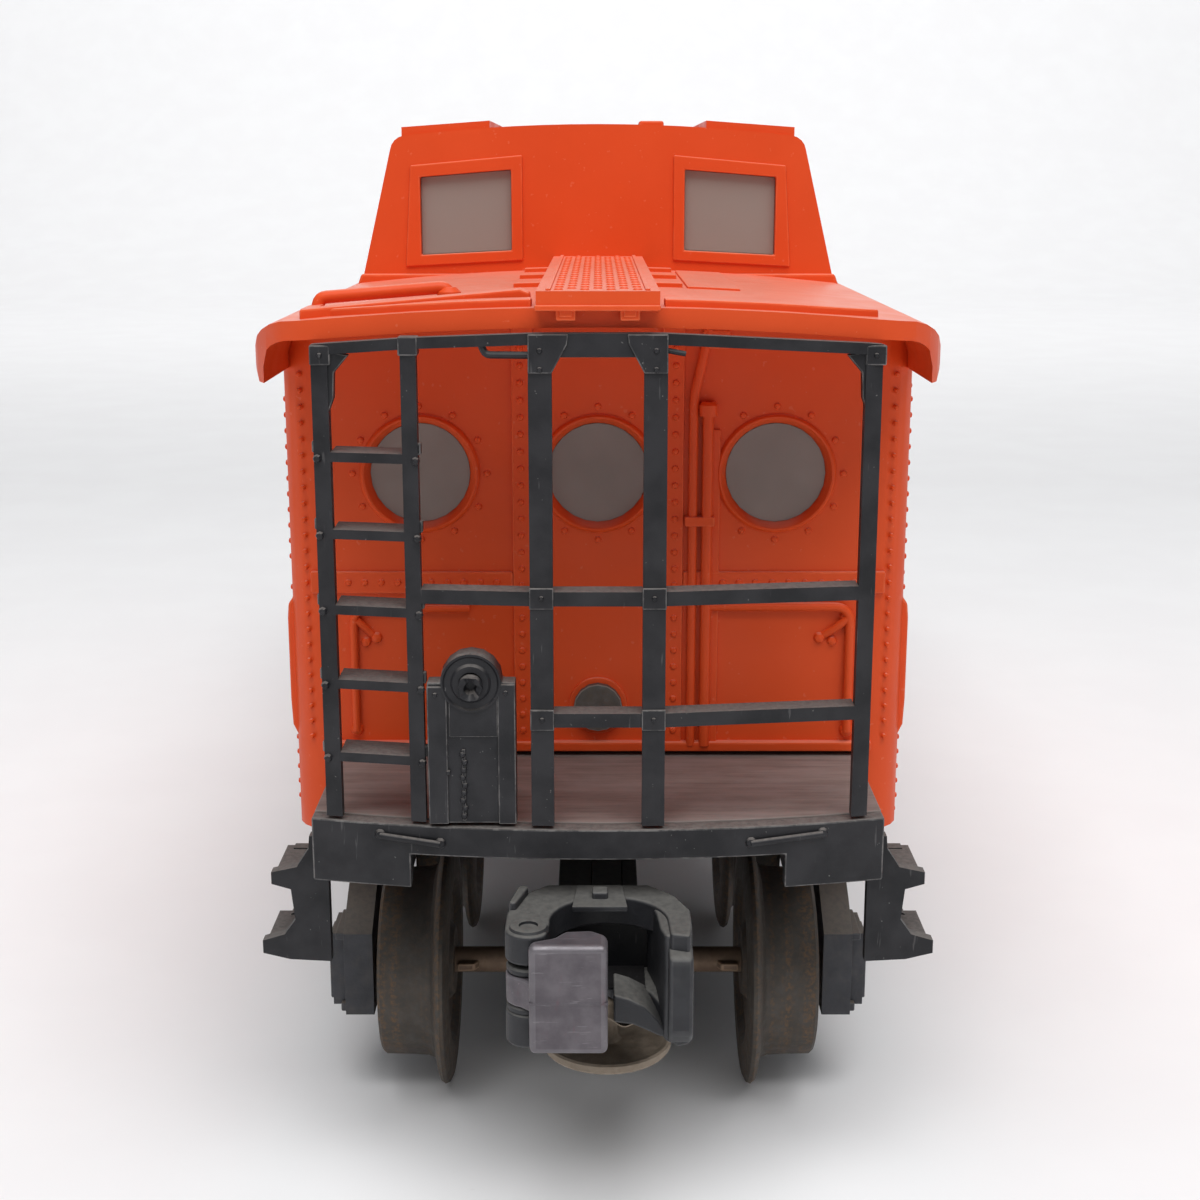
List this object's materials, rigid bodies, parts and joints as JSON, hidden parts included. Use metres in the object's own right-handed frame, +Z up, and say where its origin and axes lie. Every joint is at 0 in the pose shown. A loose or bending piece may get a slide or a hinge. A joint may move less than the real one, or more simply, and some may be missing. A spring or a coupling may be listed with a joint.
{
  "type": "model caboose",
  "caption": "Toy-train caboose: arched-roof body with cupola and round windows, railed end platforms, swivelling trucks, flanged wheelsets and opening knuckle couplers.",
  "frame": {"origin": "centre of the bounding box at wheel-flange bottom level", "axes": "+Y along the car away from the pictured end, +X across the car to the right as seen from that end, +Z up"},
  "size_m": [0.06, 0.2072, 0.0939],
  "materials": {
    "orange_shell": "moulded orange plastic with a soft satin sheen, light dust on upward faces",
    "black_plastic": "moulded black plastic, dusty on upward faces, edges scuffed pale",
    "frosted_window": "frosted translucent plastic, milky grey",
    "deck": "brown moulded plank grain under dust",
    "floor_steel": "black painted stamped steel",
    "truck_casting": "blackened die casting, dusty",
    "knuckle_zinc": "bare grey-violet casting with a parting line",
    "wheel_steel": "worn dark steel with a dusty brown tread",
    "axle_steel": "steel with a brown film of rust",
    "disc_steel": "steel disc under tan dust",
    "bright_steel": "plated steel, dulled"
  },
  "bodies": {
    "carbody": {"body_shell": "orange_shell", "chassis_floor": "floor_steel", "smoke_jack": "black_plastic", "brake_wheel_stub_front": "black_plastic", "brake_wheel_rear": "black_plastic", "side_glazing_left": "frosted_window", "cupola_glazing_left": "frosted_window", "side_glazing_right": "frosted_window", "cupola_glazing_right": "frosted_window", "end_glazing_front": "frosted_window", "cupola_glazing_front": "frosted_window", "platform_deck_front": "deck", "end_sill_front": "black_plastic", "end_railing_front": "black_plastic", "brake_stand_front": "black_plastic", "body_screw_front": "bright_steel", "corner_steps_front_left": "black_plastic", "corner_steps_front_right": "black_plastic", "end_glazing_rear": "frosted_window", "cupola_glazing_rear": "frosted_window", "platform_deck_rear": "deck", "end_sill_rear": "black_plastic", "end_railing_rear": "black_plastic", "brake_stand_rear": "black_plastic", "body_screw_rear": "bright_steel", "corner_steps_rear_left": "black_plastic", "corner_steps_rear_right": "black_plastic", "kingpin_front": "bright_steel", "kingpin_rear": "bright_steel"},
    "truck_front": {"truck_frame_front": "truck_casting", "coupler_head_front": "truck_casting", "knuckle_pin_front": "bright_steel"},
    "wheelset_front_outer": {"axle_front_outer": "axle_steel", "wheel_front_outer_left": "wheel_steel", "wheel_front_outer_right": "wheel_steel"},
    "wheelset_front_inner": {"axle_front_inner": "axle_steel", "wheel_front_inner_left": "wheel_steel", "wheel_front_inner_right": "wheel_steel"},
    "knuckle_front": {"knuckle_front": "knuckle_zinc"},
    "armature_front": {"armature_disc_front": "disc_steel"},
    "truck_rear": {"truck_frame_rear": "truck_casting", "coupler_head_rear": "truck_casting", "knuckle_pin_rear": "bright_steel"},
    "wheelset_rear_outer": {"axle_rear_outer": "axle_steel", "wheel_rear_outer_left": "wheel_steel", "wheel_rear_outer_right": "wheel_steel"},
    "wheelset_rear_inner": {"axle_rear_inner": "axle_steel", "wheel_rear_inner_left": "wheel_steel", "wheel_rear_inner_right": "wheel_steel"},
    "knuckle_rear": {"knuckle_rear": "knuckle_zinc"},
    "armature_rear": {"armature_disc_rear": "disc_steel"}
  },
  "joints": [
    {"name": "front_truck_swivel", "type": "hinge", "parent": "carbody", "child": "truck_front", "pos_m": [0, -0.0523, 0.0255], "axis": [0, 0, 1], "range_deg": [-10, 10]},
    {"name": "front_outer_axle_spin", "type": "hinge", "parent": "truck_front", "child": "wheelset_front_outer", "pos_m": [0, -0.07105, 0.012], "axis": [1, 0, 0], "continuous": true},
    {"name": "front_inner_axle_spin", "type": "hinge", "parent": "truck_front", "child": "wheelset_front_inner", "pos_m": [0, -0.03355, 0.012], "axis": [1, 0, 0], "continuous": true},
    {"name": "front_knuckle_open", "type": "hinge", "parent": "truck_front", "child": "knuckle_front", "pos_m": [-0.0057, -0.1002, 0.0231], "axis": [0, 0, -1], "range_deg": [0, 40]},
    {"name": "front_armature_pull", "type": "slide", "parent": "truck_front", "child": "armature_front", "axis": [0, 0, -1], "range_m": [0, 0.0015], "stiffness_N_per_m": 20, "springref_m": -0.001},
    {"name": "rear_truck_swivel", "type": "hinge", "parent": "carbody", "child": "truck_rear", "pos_m": [0, 0.0523, 0.0255], "axis": [0, 0, 1], "range_deg": [-10, 10]},
    {"name": "rear_outer_axle_spin", "type": "hinge", "parent": "truck_rear", "child": "wheelset_rear_outer", "pos_m": [0, 0.07105, 0.012], "axis": [1, 0, 0], "continuous": true},
    {"name": "rear_inner_axle_spin", "type": "hinge", "parent": "truck_rear", "child": "wheelset_rear_inner", "pos_m": [0, 0.03355, 0.012], "axis": [1, 0, 0], "continuous": true},
    {"name": "rear_knuckle_open", "type": "hinge", "parent": "truck_rear", "child": "knuckle_rear", "pos_m": [0.0057, 0.1002, 0.0231], "axis": [0, 0, -1], "range_deg": [0, 40]},
    {"name": "rear_armature_pull", "type": "slide", "parent": "truck_rear", "child": "armature_rear", "axis": [0, 0, -1], "range_m": [0, 0.0015], "stiffness_N_per_m": 20, "springref_m": -0.001}
  ],
  "couplings": [
    {"joint": "front_knuckle_open", "follows": "front_armature_pull", "rad_per_m": 465},
    {"joint": "rear_knuckle_open", "follows": "rear_armature_pull", "rad_per_m": 465}
  ]
}
